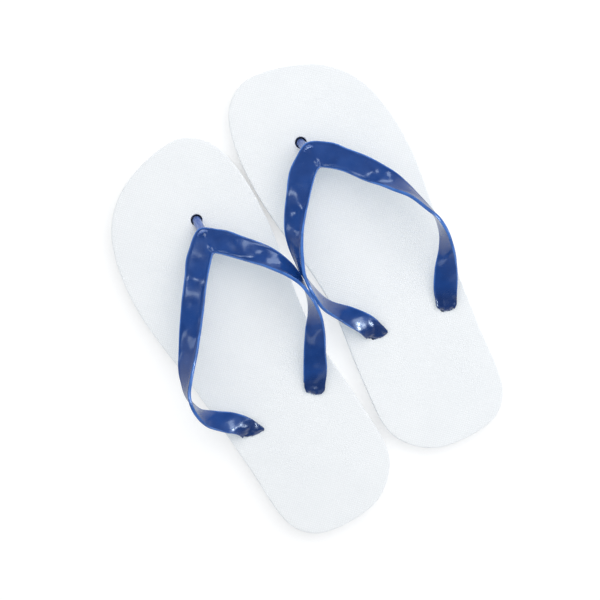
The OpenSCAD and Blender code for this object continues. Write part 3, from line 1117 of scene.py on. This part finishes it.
def vinyl_material():
    """Glossy soft vinyl: deep blue, with a painted glow on its rims, a paler painted highlight in
    streaks on its post, painted shade at its rear ends, and faint ripples and marks.
    """
    n = Nodes(bpy.data.materials.new("strap_vinyl_finish"))
    where = n.attribute("rest_mm", "Vector")
    rim, post, tip = [n.attribute(name, "Fac") for name in ("rim", "post", "tip")]
    drift = n.noise(where, 0.09, 3.0)
    colour = n.mix(n.ramp(drift, 0.35, 0.65), *VINYL_TINTS)
    # Painted shade at the rear ends
    colour = n.mix(n.math("MULTIPLY", tip, 0.7), colour, VINYL_TIP_SHADE)
    # Painted glow on the rims, patchy along them
    rim_glow_patches = n.ramp(n.noise(where, 0.12, 1.0), 0.38, 0.6, 0.5, 0.95)
    colour = n.mix(n.math("MULTIPLY", rim, rim_glow_patches), colour, VINYL_RIM_GLOW)
    # Painted highlight on the post: paler blue in lengthwise streaks
    highlight_streaks = n.noise(n.stretched(where, (1.5, 0.25, 0.08)), 0.9, 1.0)
    post_highlight_colour = n.mix(n.ramp(highlight_streaks, 0.42, 0.6), *POST_HIGHLIGHT_TINTS)
    colour = n.mix(n.math("MULTIPLY", post, 0.85), colour, post_highlight_colour)
    rolling = n.bump(n.noise(where, 0.16, 0.0), 0.00015, 0.5)
    normal = n.bump(n.noise(where, 1.3, 3.0, 0.6), 0.000008, 0.4, rolling)
    scratches = n.noise(n.stretched(where, (0.4, 3.0, 0.8)), 1.2, 3.0, 0.7)
    rough = n.ramp(scratches, 0.35, 0.75, 0.21, 0.29)
    rough = n.math("ADD", rough, n.math("MULTIPLY", post, 0.06))
    rough = n.math("ADD", rough, n.math("MULTIPLY", tip, 0.05))
    shader = n.add("BsdfPrincipled", Base_Color=colour, Roughness=rough, Normal=normal)
    n.set(shader, "IOR", 1.53)
    n.set(shader, "Coat Weight", 0.5)
    n.set(shader, "Coat Roughness", 0.09)
    n.set(shader, "Coat Normal", rolling)
    path = n.add("LightPath")
    lighting = n.math("MAXIMUM", path.outputs["Is Shadow Ray"], path.outputs["Is Diffuse Ray"])
    share = n.ramp(post, 0.0, 1.0, LIGHT_THROUGH, POST_LIGHT_THROUGH)
    clear = n.add("BsdfTransparent", Color=(*VINYL_CLEAR, 1))
    return n.surface(n.mix_shaders(n.math("MULTIPLY", lighting, share), shader, clear))


def floor_material():
    """A plain pale floor, clear to a camera that looks up from below it."""
    n = Nodes(bpy.data.materials.new("studio_floor"))
    geometry = n.add("NewGeometry")
    path = n.add("LightPath")
    mottle = n.ramp(n.noise(geometry.outputs["Position"], 3.0, 2.0), 0.3, 0.7)
    colour = n.mix(mottle, *FLOOR_TINTS)
    paint = n.add("BsdfPrincipled", Base_Color=colour, Roughness=0.9, Emission_Color=(1, 1, 1, 1))
    glow = n.ramp(path.outputs["Is Glossy Ray"], 0.0, 1.0, FLOOR_GLOW, 0.0)
    n.set(paint, "Emission Strength", glow)
    n.set(paint, "Specular IOR Level", 0.1)
    below = n.math("MULTIPLY", geometry.outputs["Backfacing"], path.outputs["Is Camera Ray"])
    return n.surface(n.mix_shaders(below, paint, n.add("BsdfTransparent")))


# ---------------------------------------------------------------- stage


def make_floor():
    half = 4.0
    mesh = bpy.data.meshes.new("floor")
    corners = [(-half, -half, 0), (half, -half, 0), (half, half, 0), (-half, half, 0)]
    mesh.from_pydata(corners, [], [(0, 1, 2, 3)])
    mesh.materials.append(floor_material())
    add_object("floor", mesh)


def make_light(name, azimuth, tilt, distance, size, power):
    """A soft box leaning from overhead, aimed at the pair, that gives light but no highlight."""
    data = bpy.data.lights.new(name, "AREA")
    data.shape = "RECTANGLE"
    data.size, data.size_y = size
    data.energy = power
    lamp = add_object(name, data)
    a, t = math.radians(azimuth), math.radians(tilt)
    way = Vector((math.cos(a) * math.sin(t), math.sin(a) * math.sin(t), math.cos(t)))
    lamp.location = way * distance
    lamp.rotation_euler = lamp.location.to_track_quat("Z", "Y").to_euler()
    lamp.visible_glossy = False
    return lamp


def make_card(name, azimuth, tilt, size, glow):
    """A pale card beside the pair, seen only in glossy surfaces."""
    card = make_light(name, azimuth, tilt, CARD_DISTANCE, size, glow * math.pi * size[0] * size[1])
    card.data.color = CARD_TINT
    card.visible_diffuse = False
    card.visible_glossy = True


def make_world():
    """An even pale surround, whiter to the camera than as light, shining mostly by the floor."""
    world = bpy.data.worlds.new("studio")
    bpy.context.scene.world = world
    n = Nodes(world, "OutputWorld")
    up = n.add("SeparateXYZ", Vector=n.add("TexCoord").outputs["Generated"]).outputs[2]
    shine = n.ramp(up, 0.0, SHINE_UP_TO, LOW_SHINE, HIGH_SHINE)
    shine.node.interpolation_type = "SMOOTHSTEP"
    path = n.add("LightPath")
    light = n.ramp(path.outputs["Is Glossy Ray"], 0.0, 1.0, WORLD_LIGHT, shine)
    strength = n.ramp(path.outputs["Is Camera Ray"], 0.0, 1.0, light, WORLD_SEEN)
    background = n.add("Background", Color=(*SURROUND, 1), Strength=strength)
    n.surface(background.outputs[0])


def make_camera():
    """Straight above the pair, turned so that the toes point up and to the left."""
    data = bpy.data.cameras.new("camera")
    camera = add_object("camera", data)
    middle = (cad_box[0] + cad_box[1]) / 2
    sole_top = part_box("left_footbed_rear")[1].z
    aside = Vector((*CAMERA_ASIDE, sole_top + CAMERA_HEIGHT))
    camera.location = Vector((middle.x, middle.y, 0)) + aside
    camera.rotation_euler = (0, 0, math.radians(VIEW_TURN))
    data.sensor_fit = "HORIZONTAL"
    data.angle = 2 * math.atan(SEEN_WIDTH / 2 / CAMERA_HEIGHT)
    data.clip_start = 0.1
    data.clip_end = 20
    bpy.context.scene.camera = camera


# ---------------------------------------------------------------- the pair


def add_to_shoe(piece, shoe, slot, material, *nodes):
    """Gives a piece its finish and hides its CAD nodes, in whose place it stands."""
    piece.data.materials.append(material)
    start = shoe.place(0, BEND_FROM * shoe.size, shoe.top_z)
    end = shoe.place(0, BEND_TO * shoe.size, shoe.top_z)
    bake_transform(piece)
    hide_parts(*nodes)


FOOTBED = foam_material("footbed_foam_finish", FOOTBED_TINTS, True)
OUTSOLE = foam_material("outsole_foam_finish", OUTSOLE_TINTS, False)
VINYL = vinyl_material()

for side, stations, v_index, post_top, seed in (
    ("left", LEFT_BAND, LEFT_V, LEFT_POST_TOP, 11.0),
    ("right", RIGHT_BAND, RIGHT_V, RIGHT_POST_TOP, 43.0),
):
    shoe = Shoe(side, stations)
    edge = outline(shoe)
    add_to_shoe(make_footbed(shoe, edge), shoe, "footbed_foam", FOOTBED,
                f"{side}_footbed_rear", f"{side}_footbed_toe")
    add_to_shoe(make_outsole(shoe, edge), shoe, "outsole_foam", OUTSOLE,
                f"{side}_outsole_rear", f"{side}_outsole_toe")
    add_to_shoe(make_strap(shoe, v_index, post_top, seed), shoe, "strap_vinyl", VINYL,
                f"{side}_strap")

make_floor()
make_world()
for light in LIGHTS:
    make_light(*light)
for card in CARDS:
    make_card(*card)
make_camera()
bpy.context.scene.view_settings.view_transform = "Standard"
